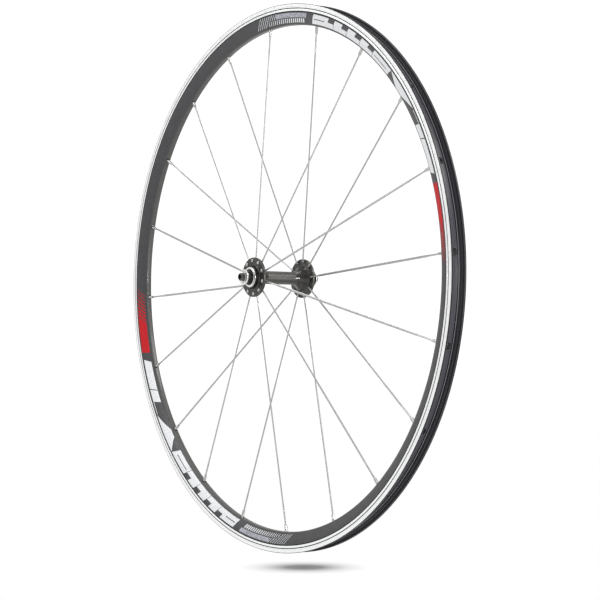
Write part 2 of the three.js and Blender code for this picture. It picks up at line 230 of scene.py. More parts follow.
class Nodes:
    """A short way to build a material's node tree around its one Principled shader."""

    def __init__(self, name, color, metallic, roughness, coat=0.0, specular=0.5):
        self.material = bpy.data.materials.new(name)
        self.material.use_nodes = True
        self.tree = self.material.node_tree
        self.shader = self.tree.nodes["Principled BSDF"]
        self.shader.inputs["Base Color"].default_value = (*color, 1)
        self.shader.inputs["Metallic"].default_value = metallic
        self.shader.inputs["Roughness"].default_value = roughness
        self.shader.inputs["Coat Weight"].default_value = coat
        self.shader.inputs["Specular IOR Level"].default_value = specular
        self.shader.inputs["Coat Roughness"].default_value = COAT_ROUGHNESS
        self.place = self.add("ShaderNodeTexCoord").outputs["Object"]

    def add(self, kind, **settings):
        node = self.tree.nodes.new(kind)
        for key, value in settings.items():
            setattr(node, key, value)
        return node

    def link(self, source, target):
        self.tree.links.new(source, target)

    def math(self, operation, *values):
        node = self.add("ShaderNodeMath", operation=operation)
        for socket, value in zip(node.inputs, values):
            if isinstance(value, (int, float)):
                socket.default_value = value
            else:
                self.link(value, socket)
        return node.outputs[0]

    def axis(self, letter):
        split = self.add("ShaderNodeSeparateXYZ")
        self.link(self.place, split.inputs[0])
        return split.outputs[letter]

    def radius(self):
        """Distance from the axle in metres."""
        squares = [self.math("MULTIPLY", value, value) for value in (self.axis("X"), self.axis("Z"))]
        return self.math("SQRT", self.math("ADD", *squares))

    def from_middle(self):
        """Distance from the wheel's middle plane in millimetres."""
        return self.math("MULTIPLY", self.math("ABSOLUTE", self.axis("Y")), 1 / MM)

    def noise(self, scale, detail):
        node = self.add("ShaderNodeTexNoise")
        node.inputs["Scale"].default_value = scale
        node.inputs["Detail"].default_value = detail
        self.link(self.place, node.inputs["Vector"])
        return node.outputs["Fac"]

    def rings(self, value, per_metre, detail):
        """Noise that depends only on one value, such as the radius: the marks that turning leaves."""
        node = self.add("ShaderNodeTexNoise", noise_dimensions="1D")
        node.inputs["Scale"].default_value = per_metre
        node.inputs["Detail"].default_value = detail
        self.link(value, node.inputs["W"])
        return node.outputs["Fac"]

    def tinted(self, base, factor):
        """A colour darkened or lightened by a grey factor."""
        node = self.add("ShaderNodeMix", data_type="RGBA", blend_type="MULTIPLY")
        node.inputs["Factor"].default_value = 1
        self.link(base, node.inputs["A"])
        self.link(factor, node.inputs["B"])
        return node.outputs["Result"]

    def ramp(self, factor, *stops):
        """A colour or grey for each (position, value) stop."""
        node = self.add("ShaderNodeValToRGB")
        while len(node.color_ramp.elements) < len(stops):
            node.color_ramp.elements.new(0.5)
        for element, (position, value) in zip(node.color_ramp.elements, stops):
            element.position = position
            element.color = (*value, 1) if isinstance(value, tuple) else (value, value, value, 1)
        self.link(factor, node.inputs[0])
        return node.outputs[0]

    def set(self, socket, source):
        self.link(source, self.shader.inputs[socket])

    def bump(self, height, strength, distance_mm):
        node = self.add("ShaderNodeBump")
        node.inputs["Strength"].default_value = strength
        node.inputs["Distance"].default_value = distance_mm * MM
        self.link(height, node.inputs["Height"])
        self.set("Normal", node.outputs[0])

    def uneven_gloss(self, roughness, scale, detail, rise):
        """A roughness that wanders from a little below its usual value to a rise above it."""
        wander = self.noise(scale, detail)
        self.set("Roughness", self.ramp(wander, (0.3, roughness - 0.05), (0.7, roughness + rise)))


def paint_finish(name, dark, light, roughness, grain, coat=0.0, specular=0.5):
    """Paint or vinyl: a little mottling, a faint orange peel and uneven gloss."""
    nodes = Nodes(name, light, 0, roughness, coat, specular)
    nodes.set("Base Color", nodes.ramp(nodes.noise(grain, 4), (0.3, dark), (0.7, light)))
    nodes.uneven_gloss(roughness, grain / 3, 3, 0.07)
    nodes.bump(nodes.noise(grain * 3, 2), 0.1, 0.01)
    return nodes.material


def turned_metal(name, dark, light, roughness, along, per_metre):
    """Metal with turning marks, round the radius or along the axle."""
    nodes = Nodes(name, light, 1, roughness)
    position = nodes.radius() if along == "radius" else nodes.axis("Y")
    marks = nodes.rings(position, per_metre, 3)
    nodes.set("Base Color", nodes.ramp(marks, (0.3, dark), (0.65, light)))
    nodes.uneven_gloss(roughness, 260, 3, 0.08)
    nodes.bump(marks, 0.05, 0.02)
    return nodes.material


def drawn_metal(name, dark, light, roughness):
    """Wire or bar that was drawn and rolled: a slightly uneven colour and gloss."""
    nodes = Nodes(name, light, 1, roughness)
    nodes.set("Base Color", nodes.ramp(nodes.noise(300, 3), (0.3, dark), (0.7, light)))
    nodes.uneven_gloss(roughness, 700, 2, 0.08)
    return nodes.material


# Painted light and shade on the hub, by the share of the way from the middle plane to HUB_ZONE_END_Y: a
# lighter tube, darker flares and a darker boss.
HUB_ZONE_END_Y = 40
HUB_PAINTED_LIGHT_ZONES = [
    (0.42, (0.125, 0.123, 0.117)),
    (0.56, (0.1, 0.098, 0.092)),
    (0.78, (0.06, 0.059, 0.055)),
    (0.82, (0.1, 0.098, 0.09)),
    (0.9, (0.11, 0.108, 0.1)),
    (0.93, (0.045, 0.044, 0.04)),
]


def hub_finish():
    """Black anodised alloy: a brushed tube, polished flares and satin flanges by its roughness. Its colour
    holds painted light and shade: a lighter tube, darker flares, a darker boss, and streaks along the tube
    that are painted reflections of the lamps.
    """
    nodes = Nodes("hub_black_anodised", (0.05, 0.05, 0.047), 1, 0.3)
    place = nodes.math("MULTIPLY", nodes.from_middle(), 1 / HUB_ZONE_END_Y)
    # Painted light and shade by the distance from the middle plane.
    painted_light_zones = nodes.ramp(place, *HUB_PAINTED_LIGHT_ZONES)
    # Painted reflections: light and dark streaks along the tube's length, set by the angle about the axle.
    reflection_streak_noise = nodes.rings(nodes.math("ARCTAN2", nodes.axis("X"), nodes.axis("Z")), 2.6, 1)
    painted_reflection_streaks = nodes.ramp(reflection_streak_noise, (0.4, 0.7), (0.6, 1.0))
    mottle = nodes.ramp(nodes.noise(300, 2), (0.35, 0.93), (0.65, 1.0))
    nodes.set("Base Color", nodes.tinted(nodes.tinted(painted_light_zones, painted_reflection_streaks), mottle))
    nodes.set("Roughness", nodes.ramp(place, (0.46, 0.42), (0.54, 0.13), (0.78, 0.1), (0.81, 0.36)))
    return nodes.material


# Painted light and shade on the tyre bed, by the share of the way from the middle plane to BED_ZONE_END_Y: a
# lighter well floor, thin bright lines on the edges of the well and on the lips, and dark lines beside them.
BED_ZONE_END_Y = 10
BED_PAINTED_LIGHT_ZONES = [
    (0.38, (0.06, 0.058, 0.071)),
    (0.4, (0.006, 0.006, 0.008)),
    (0.44, (0.006, 0.006, 0.008)),
    (0.45, (0.26, 0.26, 0.29)),
    (0.475, (0.26, 0.26, 0.29)),
    (0.49, (0.015, 0.0145, 0.018)),
    (0.64, (0.016, 0.0155, 0.019)),
    (0.7, (0.036, 0.035, 0.043)),
    (0.795, (0.034, 0.033, 0.04)),
    (0.805, (0.12, 0.12, 0.13)),
    (0.825, (0.12, 0.12, 0.13)),
    (0.835, (0.004, 0.004, 0.004)),
]


def tyre_bed_finish():
    """Dark anodised alloy under the tyre, with painted highlights along the edges of the well and on the
    lips, painted shade in thin dark lines beside them, and a lighter well floor that paints the light it
    catches.
    """
    nodes = Nodes("rim_tyre_bed", (0.02, 0.02, 0.026), 0, 0.32, 0, 0.3)
    place = nodes.math("MULTIPLY", nodes.from_middle(), 1 / BED_ZONE_END_Y)
    # Painted highlights and shade by the distance from the middle plane.
    painted_light_zones = nodes.ramp(place, *BED_PAINTED_LIGHT_ZONES)
    lines = nodes.ramp(nodes.rings(nodes.axis("Y"), 1500, 2), (0.35, 0.5), (0.65, 1.0))
    nodes.set("Base Color", nodes.tinted(painted_light_zones, lines))
    return nodes.material


CAP_ZONE_END_R = 20


def dust_cap_finish():
    """A bright turned ring round a dark inner face."""
    nodes = Nodes("dust_cap_alloy", (0.7, 0.7, 0.69), 1, 0.24)
    place = nodes.math("MULTIPLY", nodes.radius(), 1 / (CAP_ZONE_END_R * MM))
    nodes.set("Base Color", nodes.ramp(place, (0.455, 0.05), (0.475, 0.74), (0.575, 0.82)))
    return nodes.material


RIM_PAINT = paint_finish("rim_paint", (0.025, 0.025, 0.028), (0.034, 0.034, 0.038), 0.4, 180, specular=0.6)
RIM_TRACK = turned_metal("rim_brake_track", (0.88, 0.885, 0.89), (0.98, 0.985, 0.99), 0.36, "radius", 900)
RIM_BED = tyre_bed_finish()
# The spoke bed takes a lighter, glossier copy of the side walls' paint: painted light for what it catches
# from the floor and the lamps.
RIM_SPOKE_BED_PAINTED_LIGHT = paint_finish(
    "rim_spoke_bed_painted_light", (0.038, 0.038, 0.034), (0.052, 0.052, 0.047), 0.38, 150, coat=0.35
)
RIM_RAW = drawn_metal("rim_raw_alloy", (0.5, 0.5, 0.52), (0.7, 0.7, 0.71), 0.55)
# A near-black finish that paints the shade in the grooves of the brake track, along the outer lip and in the
# walls of the nipple holes.
RIM_GROOVE_SHADE = paint_finish("rim_groove_shade", (0.004, 0.004, 0.004), (0.008, 0.008, 0.008), 0.7, 300, specular=0.1)
WHITE_VINYL = paint_finish("decal_white", (0.67, 0.68, 0.7), (0.75, 0.76, 0.78), 0.4, 420)
RED_VINYL = paint_finish("decal_red", (0.43, 0.006, 0.01), (0.52, 0.01, 0.016), 0.5, 300, specular=0.2)
GREY_VINYL = paint_finish("decal_grey", (0.22, 0.225, 0.255), (0.47, 0.475, 0.53), 0.45, 420, specular=0.3)
SPOKE_STEEL = drawn_metal("spoke_steel", (0.4, 0.4, 0.4), (0.5, 0.5, 0.5), 0.4)
NIPPLE_ALLOY = drawn_metal("nipple_alloy", (0.42, 0.42, 0.415), (0.62, 0.62, 0.61), 0.28)
HUB_BLACK = hub_finish()
AXLE_STEEL = turned_metal("axle_black_oxide", (0.05, 0.05, 0.05), (0.16, 0.16, 0.155), 0.42, "axle", 2500)
SPACER_BLACK = turned_metal("spacer_black", (0.02, 0.02, 0.02), (0.05, 0.05, 0.047), 0.35, "axle", 1800)
BRIGHT_ALLOY = turned_metal("bright_alloy", (0.62, 0.62, 0.61), (0.8, 0.8, 0.79), 0.24, "radius", 900)
DUST_CAP_ALLOY = dust_cap_finish()
BEARING_STEEL = turned_metal("bearing_steel", (0.45, 0.46, 0.47), (0.7, 0.71, 0.72), 0.22, "radius", 1200)
SEAL_RUBBER = paint_finish("seal_rubber", (0.012, 0.012, 0.012), (0.028, 0.028, 0.028), 0.7, 600)

# ---------------------------------------------------------------- rim

GROOVE_HALF_WIDTH, GROOVE_DEPTH, GROOVE_ROUNDING = 0.5, 0.4, 0.08
# The width of the outer lip that takes the near-black painted shade.
DARK_LIP = 0.5
TRACK_GROOVE_R = 311.1
SIDE_MIN_Y, TRACK_MIN_Y = 9, 9.6
WELL_MARGIN = 0.5
RIM_SEGMENTS = 360

NIPPLE_HOLE_R, ACCESS_HOLE_R, VALVE_HOLE_R = 2.65, 4.1, 3.25
NIPPLE_DRILL_REACH = 6
VALVE_DRILL_START_R, ACCESS_DRILL_START_R, DRILL_END_R = 289, 305, 314


def groove(r, inner_y, outer_y):
    """The section of a groove turned round a side of the rim."""
    floor_y = min(inner_y, outer_y) - GROOVE_DEPTH
    return [
        (r - GROOVE_HALF_WIDTH, inner_y, GROOVE_ROUNDING),
        (r - GROOVE_HALF_WIDTH + GROOVE_ROUNDING, floor_y, GROOVE_ROUNDING),
        (r + GROOVE_HALF_WIDTH - GROOVE_ROUNDING, floor_y, GROOVE_ROUNDING),
        (r + GROOVE_HALF_WIDTH, outer_y, GROOVE_ROUNDING),
    ]


rim_half = softened(
    [
        (292.4, 0.3, 0),
        (292.8, 2.6, 1.5),
        (CREASE_R, CREASE_Y, 0.5),
        (298, 6.4, 12),
        (303, 8.55, 16),
        *groove(TRACK_BOTTOM_R, 9.68, TRACK_Y),
        *groove(TRACK_GROOVE_R, TRACK_Y, TRACK_Y),
        (RIM_R - DARK_LIP, TRACK_Y, 0),
        (RIM_R, TRACK_Y, 0.3),
        (RIM_R, 8.05, 0.45),
        (315.3, 7.5, 0.5),
        (313.4, 8.25, 0.8),
        (311, 8.1, 0.5),
        (311, 4.7, 0.5),
        (WELL_R, 4.05, 0.6),
        (WELL_R, 0.3, 0),
    ],
    0.3,
)[1:-1]
rim_hollow = softened(mirrored([(BED_R, 3.6), (302.6, 7.3), (307.9, 7.5)]), 1)
RIM_MATERIALS = [RIM_PAINT, RIM_TRACK, RIM_BED, RIM_SPOKE_BED_PAINTED_LIGHT, RIM_GROOVE_SHADE, RIM_RAW]


def rim_material(centre):
    """The material of the rim's face at a place. The grooves and the outer lip take the near-black painted
    shade.
    """
    r, y = math.hypot(centre.x, centre.z), abs(centre.y)
    in_groove = any(abs(r - line) <= GROOVE_HALF_WIDTH for line in (TRACK_BOTTOM_R, TRACK_GROOVE_R))
    if y > SIDE_MIN_Y and (in_groove or r > RIM_R - DARK_LIP):
        return RIM_GROOVE_SHADE
    if r > TRACK_BOTTOM_R and y > TRACK_MIN_Y:
        return RIM_TRACK
    if r > WELL_R - WELL_MARGIN:
        return RIM_BED
    # The spoke bed's lighter copy of the paint is painted light.
    return RIM_SPOKE_BED_PAINTED_LIGHT if r < CREASE_R else RIM_PAINT


def plane_of(number):
    """A spoke's own plane: away from the axle, towards its flange's side, and along the rim."""
    angle = FIRST_SPOKE + number * SPOKE_STEP
    side = -1 if number % 2 == 0 else 1
    out = polar(1, 0, angle)
    outboard = Vector((0, side, 0))
    return out, outboard, out.cross(outboard)


def elbow_point(turn):
    """The radius and the distance from the middle plane where the wire has bent by a turn in radians."""
    return SPOKE_CIRCLE_R + ELBOW_R * (1 - math.cos(turn)), ELBOW_START_Y - ELBOW_R * math.sin(turn)


def elbow_turn():
    """How far the wire bends at the flange, in radians, so that it then points at the nipple's seat."""
    turn = math.pi / 2
    for _ in range(4):
        r, y = elbow_point(turn)
        turn = math.pi / 2 - math.atan2(y, SEAT_R - r)
    return turn


ELBOW_TURN = elbow_turn()


def along_spoke(plane, distance):
    """A point on the spoke's line, by its distance from the nipple's seat, positive away from the hub."""
    out, outboard, _ = plane
    return out * (SEAT_R + distance * math.sin(ELBOW_TURN)) - outboard * distance * math.cos(ELBOW_TURN)


valve = polar(1, 0, VALVE_ANGLE)
nipple_drills = []
outer_drills = [drill(valve * VALVE_DRILL_START_R, valve * DRILL_END_R, VALVE_HOLE_R)]
for number in range(SPOKES):
    plane = plane_of(number)
    drill_ends = [along_spoke(plane, reach) for reach in (-NIPPLE_DRILL_REACH, NIPPLE_DRILL_REACH)]
    nipple_drills.append(drill(*drill_ends, NIPPLE_HOLE_R))
    outer_drills.append(drill(plane[0] * ACCESS_DRILL_START_R, plane[0] * DRILL_END_R, ACCESS_HOLE_R))

rim_skin = turned(mirrored(rim_half), RIM_SEGMENTS)
hollow_skin = turned(rim_hollow[::-1], RIM_SEGMENTS)
rim = make_object("rim_fine", joined([rim_skin, hollow_skin]), RIM_MATERIALS, rim_material)
for face in rim.data.polygons[len(rim_skin[1]):]:
    face.material_index = RIM_MATERIALS.index(RIM_RAW)
# The walls of the nipple holes take the near-black painted shade.
cut_holes(rim, nipple_drills, RIM_GROOVE_SHADE)
cut_holes(rim, outer_drills, RIM_RAW)
smooth(rim, sharp_angle=28)
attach(rim, "wheel")
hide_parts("rim")

# ---------------------------------------------------------------- generic decals on both side walls

wall = [p for p in rim_half if CREASE_R < p[0] < TRACK_BOTTOM_R - GROOVE_HALF_WIDTH and p[1] > CREASE_Y]
WALL_MIDDLE_R, WALL_WIDTH = 301, 12.8
DECAL_INNER_R, DECAL_OUTER_R = 295.1, 306
DECAL_TOP, DECAL_BOTTOM = 0.07, -0.05
DECAL_ROWS = 10
DECAL_COLUMN_DEGREES = 0.5


def wall_y(r):
    """The side wall's distance from the middle plane at a radius."""
    for (low_r, low_y), (high_r, high_y) in zip(wall, wall[1:]):
        if low_r <= r <= high_r:
            return low_y + (high_y - low_y) * (r - low_r) / (high_r - low_r)
    raise ValueError(f"no side wall at radius {r}")


def decal_block(side, start, end, inner_r=DECAL_INNER_R, outer_r=DECAL_OUTER_R, lean=1.5, end_lean=None):
    """A thin slab of vinyl between two angles, sunk a little into the wall. Its ends may lean, by degrees
    over the wall's whole width."""
    end_lean = lean if end_lean is None else end_lean
    columns = max(2, round(abs(end - start) / DECAL_COLUMN_DEGREES))
    rows = DECAL_ROWS
    points = []
    for lift in (DECAL_TOP, DECAL_BOTTOM):
        for i in range(columns + 1):
            for j in range(rows + 1):
                r = inner_r + (outer_r - inner_r) * j / rows
                offset = (r - WALL_MIDDLE_R) / WALL_WIDTH
                first = start + lean * offset
                last = end + end_lean * offset
                angle = first + (last - first) * i / columns
                points.append(polar(r, side * (wall_y(r) + lift), angle))
    per_layer = (columns + 1) * (rows + 1)

    def index(i, j, layer):
        return layer * per_layer + i * (rows + 1) + j

    faces = []
    for i in range(columns):
        for j in range(rows):
            quad = [(i, j), (i + 1, j), (i + 1, j + 1), (i, j + 1)]
            faces.append(tuple(index(*at, 0) for at in quad))
            faces.append(tuple(index(*at, 1) for at in reversed(quad)))
    edge = [(i, 0) for i in range(columns)] + [(columns, j) for j in range(rows)]
    edge += [(i, rows) for i in range(columns, 0, -1)] + [(0, j) for j in range(rows, 0, -1)]
    for here, there in zip(edge, edge[1:] + edge[:1]):
        faces.append((index(*here, 0), index(*here, 1), index(*there, 1), index(*there, 0)))
    if (side > 0) == (end > start):
        faces = [face[::-1] for face in faces]
    return points, faces


NOTCHES, NOTCH_STEP, NOTCH_WIDTH = 5, 5.15, 2.3
BAND_START, BAND_END, FIRST_NOTCH = 225.35, 194.9, 218.3
SLOT_INNER_R, SLOT_OUTER_R = 299.9, 300.9
SLOT_START_GAP, SLOT_END_GAP = 1.2, 0.6
BLOCK_OVERLAP = 0.07


def white_band(side, turn):
    """A band with square notches in its outer half, and a slot along its first and last teeth."""
    notches = [FIRST_NOTCH - NOTCH_STEP * n for n in range(NOTCHES - 1)]
    starts = [BAND_START] + [notch - NOTCH_WIDTH for notch in notches]
    inner, middle, outer = [], [], []
    for n, (start, end) in enumerate(zip(starts, notches + [BAND_END])):
        whole = (start + (NOTCH_WIDTH if n else 0) - BLOCK_OVERLAP, end + BLOCK_OVERLAP)
        inner.append(whole)
        outer.append((start, end))
        if 0 < n < NOTCHES - 1:
            middle.append(whole)
        else:
            middle += [(whole[0], start - SLOT_START_GAP), (end + SLOT_END_GAP, whole[1])]
    rows = [
        (inner, DECAL_INNER_R, SLOT_INNER_R),
        (middle, SLOT_INNER_R, SLOT_OUTER_R),
        (outer, SLOT_OUTER_R, DECAL_OUTER_R),
    ]
    return [
        decal_block(side, start + turn, end + turn, inner_r, outer_r)
        for blocks, inner_r, outer_r in rows
        for start, end in blocks
    ]


def fading_stripes(side, start, step, count, first_width, last_width, **shape):
    """Slanted stripes at even steps, whose width goes evenly from the first's to the last's."""
    stripes = []
    for n in range(count):
        width = first_width + (last_width - first_width) * n / (count - 1)
        stripes.append(decal_block(side, start + step * n, start + step * n - width, **shape))
    return stripes


# The radii between which the plain blocks and the stripes lie, and the angle from one stripe to the next.
BLOCK_INNER_R, BLOCK_OUTER_R = 295.6, 305.4
STRIPE_INNER_R, STRIPE_OUTER_R = 295.3, 306.2
STRIPE_STEP, FINE_STRIPE_STEP = -0.84, -0.78


for side_name, side in SIDES.items():
    white, red, grey = [], [], []
    for turn in (0, 180):
        white.append(decal_block(side, 250.9 + turn, 243.35 + turn, BLOCK_INNER_R, BLOCK_OUTER_R))
        white.append(decal_block(side, 243.1 + turn, 239.9 + turn, BLOCK_INNER_R, BLOCK_OUTER_R))
        white.append(decal_block(side, 239.9 + turn, 236.4 + turn, 304.6, BLOCK_OUTER_R))
        white.append(decal_block(side, 234.2 + turn, 227.3 + turn, lean=6.6, end_lean=-3.3))
        white += white_band(side, turn)
        white += fading_stripes(side, 191.8 + turn, FINE_STRIPE_STEP, 18, 0.44, 0.16,
                                inner_r=STRIPE_INNER_R, outer_r=299.8, lean=1.2)
        grey.append(decal_block(side, 192.4 + turn, 181 + turn, 300.9, 305.9))
        white += fading_stripes(side, 180.5 + turn, STRIPE_STEP, 3, 0.17, 0.17,
                                inner_r=300.5, outer_r=STRIPE_OUTER_R, lean=2.8)
        white += fading_stripes(side, 177.98 + turn, STRIPE_STEP, 5, 0.17, 0.14,
                                inner_r=STRIPE_INNER_R, outer_r=STRIPE_OUTER_R, lean=2.8)
        red.append(decal_block(side, 260.9 + turn, 253 + turn, 295.2, STRIPE_OUTER_R, lean=1.6, end_lean=0.7))
        red += fading_stripes(side, 268.2 + turn, STRIPE_STEP, 9, 0.14, 0.66,
                              inner_r=295.5, outer_r=STRIPE_OUTER_R, lean=2.2)
    add_piece("decal_white_" + side_name, joined(white), WHITE_VINYL, "wheel", "rim")
    add_piece("decal_red_" + side_name, joined(red), RED_VINYL, "wheel", "rim")
    add_piece("decal_grey_" + side_name, joined(grey), GREY_VINYL, "wheel", "rim")

# ---------------------------------------------------------------- spokes and nipples


WIRE_SIDES = 16


def oval(centre, across, normal, half_width, half_thickness):
    """A ring of points round the wire or the blade."""
    turns = [math.tau * i / WIRE_SIDES for i in range(WIRE_SIDES)]
    return [centre + across * half_width * math.cos(t) + normal * half_thickness * math.sin(t) for t in turns]


# The tapers start this far past the elbow and end this far before the nipple's seat.
BLADE_START, BLADE_END, BLADE_TAPER = 15, 28, 6
BLADE_HALF_WIDTH, BLADE_HALF_THICKNESS = 1.35, 0.4
TAPER_STEPS, ELBOW_STEPS = 6, 8
SPOKE_TIP = 1.6
HEAD_GAP = 0.15
# The head's rings: height over the flange's outer face and radius, from the top down.
HEAD_PROFILE = [(0.86, 0.5), (0.82, 1.1), (0.66, 1.62), (0.42, 1.98), (0.2, 2.08), (0.05, 1.98), (0, 1.5)]


def blade_stations(elbow_end):
    """Places along the spoke, by distance from the nipple's seat, with how flat it is there, from 0 to 1."""
    flattening_start = elbow_end + BLADE_START
    stations = []
    for first, back_to_round in ((flattening_start, False), (-BLADE_END - BLADE_TAPER, True)):
        for step in range(TAPER_STEPS + 1):
            t = step / TAPER_STEPS
            eased = t * t * (3 - 2 * t)
            stations.append((first + BLADE_TAPER * t, 1 - eased if back_to_round else eased))
    return stations


def spoke_skin(number):
    """A spoke from the top of its head, through the elbow and along the blade, to its tip in the nipple."""
    plane = plane_of(number)
    out, outboard, across = plane
    rings = []

    def add(centre, turn, half_width, half_thickness):
        forward = out * math.sin(turn) - outboard * math.cos(turn)
        rings.append(oval(centre, across, forward.cross(across), half_width, half_thickness))

    head_seat = FLANGE_OUTER_Y + HEAD_GAP
    for height, radius in HEAD_PROFILE:
        add(out * SPOKE_CIRCLE_R + outboard * (head_seat + height), 0, radius, radius)
    for y in (head_seat - 0.3, ELBOW_START_Y + 0.8):
        add(out * SPOKE_CIRCLE_R + outboard * y, 0, WIRE_R, WIRE_R)
    for step in range(ELBOW_STEPS + 1):
        turn = ELBOW_TURN * step / ELBOW_STEPS
        r, y = elbow_point(turn)
        add(out * r + outboard * y, turn, WIRE_R, WIRE_R)
    elbow_end = -(SEAT_R - elbow_point(ELBOW_TURN)[0]) / math.sin(ELBOW_TURN)
    for distance, share in blade_stations(elbow_end):
        width = WIRE_R + (BLADE_HALF_WIDTH - WIRE_R) * share
        thickness = WIRE_R + (BLADE_HALF_THICKNESS - WIRE_R) * share
        add(along_spoke(plane, distance), ELBOW_TURN, width, thickness)
    add(along_spoke(plane, SPOKE_TIP), ELBOW_TURN, WIRE_R, WIRE_R)
    return lofted(rings)


NIPPLE_SIDES = 24
SQUARE_CORNER_REACH, SQUARE_FLAT_REACH = 1.18, 0.93
# A nipple's section along the spoke: distance from its seat, half size, and how square it is.
NIPPLE_SECTION = [
    (-9.4, NIPPLE_BORE_R, 0),
    (-9.4, 1.5, 0.3),
    (-9.1, 1.68, 0.8),
    (-3.9, 1.68, 1),
    (-3.4, 1.9, 0.4),
    (-3.1, 1.9, 0),
    (0.4, 1.9, 0),
    (0.4, 2.6, 0),
    (0.9, 2.7, 0),
    (1.9, 2.3, 0),
    (2.4, 1.8, 0),
    (2.4, NIPPLE_BORE_R, 0),
]


def nipple_skin(number):
    """A nipple with a square shank: a bored sleeve round its spoke."""
    plane = plane_of(number)
    out, outboard, across = plane
    normal = (out * math.sin(ELBOW_TURN) - outboard * math.cos(ELBOW_TURN)).cross(across)
    rings = []
    for distance, size, squareness in NIPPLE_SECTION:
        centre = along_spoke(plane, distance)
        ring = []
        for i in range(NIPPLE_SIDES):
            t = math.tau * i / NIPPLE_SIDES
            a, n = math.cos(t), math.sin(t)
            square = min(1 / max(abs(a), abs(n)), SQUARE_CORNER_REACH) * SQUARE_FLAT_REACH
            reach = size * (1 + (square - 1) * squareness)
            ring.append(centre + across * a * reach + normal * n * reach)
        rings.append(ring)
    return lofted(rings, looped=True)


for number in range(SPOKES):
    label = f"{number + 1:02d}"
    spoke, nipple = spoke_skin(number), nipple_skin(number)
    add_piece("bladed_spoke_" + label, spoke, SPOKE_STEEL, "wheel", "spoke", "spoke_" + label)
    add_piece("square_nipple_" + label, nipple, NIPPLE_ALLOY, "wheel", "nipple", "nipple_" + label)

# ---------------------------------------------------------------- hub shell

BEARING_SEAT_R, BEARING_INNER_Y, BEARING_OUTER_Y = 11.2, 32.25, 38.4
CAP_SEAT_R = 11.9
HUB_BORE_R = 6.2
SPOKE_HOLE_R = 1.35
HUB_SEGMENTS = 144

shell_right = softened(
    [
        (WAIST_R, 0, 0),
        (WAIST_R, 19, 12),
        (WAIST_R + 0.9, 23, 10),
        (WAIST_R + 2.9, 26.6, 9),
        (WAIST_R + 6, 30, 7),
        (WAIST_R + 8, FLANGE_INNER_Y, 1.2),
        (FLANGE_R, FLANGE_INNER_Y, 0.7),
        (FLANGE_R, FLANGE_OUTER_Y, 0.7),
        (BOSS_R + 1.6, FLANGE_OUTER_Y, 0.8),
        (BOSS_R, FLANGE_OUTER_Y + 1.2, 0.8),
        (BOSS_R, SHELL_END_Y, 0.5),
        (CAP_SEAT_R, SHELL_END_Y, 0.2),
        (CAP_SEAT_R, BEARING_OUTER_Y, 0.1),
        (BEARING_SEAT_R, BEARING_OUTER_Y, 0.1),
        (BEARING_SEAT_R, BEARING_INNER_Y, 0.1),
        (HUB_BORE_R, BEARING_INNER_Y, 0.2),
        (HUB_BORE_R, 0, 0),
    ],
    0.3,
    5,
)[1:-1]
shell_loop = for_side(shell_right, -1) + shell_right
hub = make_object("hub_shell_fine", turned(shell_loop, HUB_SEGMENTS), [HUB_BLACK])
hub_drills = []
for number in range(SPOKES):
    out, outboard, _ = plane_of(number)
    ends = [out * SPOKE_CIRCLE_R + outboard * y for y in (FLANGE_INNER_Y - 1, FLANGE_OUTER_Y + 1)]
    hub_drills.append(drill(*ends, SPOKE_HOLE_R, sides=24))
cut_holes(hub, hub_drills, HUB_BLACK)
smooth(hub)
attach(hub, "wheel")
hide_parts("hub_shell")

# ---------------------------------------------------------------- axle, locknuts, spacers and dust caps

AXLE_MIDDLE_R, AXLE_END_R = 5, 4.5
THREAD_PITCH, THREAD_DEPTH = 1.0, 0.5
THREAD_START_Y, THREAD_RINGS, THREAD_RING_STEP = 46, 64, 0.125
AXLE_SEGMENTS = 64

axle_half = [(AXLE_MIDDLE_R, 0), (AXLE_MIDDLE_R, THREAD_START_Y - 0.1)]
axle_half += [(AXLE_END_R, THREAD_START_Y + THREAD_RING_STEP * i) for i in range(THREAD_RINGS)]
axle_half += [(4.1, 54.2), (3.8, 54.5), (2.85, 54.5), (2.65, 54.3)]
axle_loop = [(r, -y) for r, y in axle_half[:0:-1]] + axle_half


def thread(r, y, degrees):
    """The helix of the threaded ends."""
    if r != AXLE_END_R:
        return r, y
    phase = (abs(y) / THREAD_PITCH + math.copysign(1, y) * degrees / 360) % 1
    return r - THREAD_DEPTH * abs(2 * phase - 1), y


add_piece("axle_fine", turned(axle_loop, AXLE_SEGMENTS, thread), AXLE_STEEL, "axle", "axle", "axle")

LOCKNUT_FACE_Y = 50
LOCKNUT_TEETH, SERRATION_DEPTH = 40, 0.3
SERRATION_INNER_R, SERRATION_OUTER_R = 5.2, 7.9


def serrate(r, y, degrees):
    """Radial serrations that grip the fork end."""
    if abs(y) < LOCKNUT_FACE_Y or not SERRATION_INNER_R < r < SERRATION_OUTER_R:
        return r, y
    depth = SERRATION_DEPTH * abs(math.sin(math.radians(degrees) * LOCKNUT_TEETH / 2))
    return r, y - math.copysign(depth, y)


locknut = softened(
    [(4.7, LOCKNUT_FACE_Y), (4.7, 48.1), (9, 48.1, 0.4), (9, 49.4, 0.3), (8.5, LOCKNUT_FACE_Y, 0.3)],
    0.15,
)
locknut += [(r, LOCKNUT_FACE_Y) for r in (8.1, 7.8, 7, 6, 5.3, 5.1)]

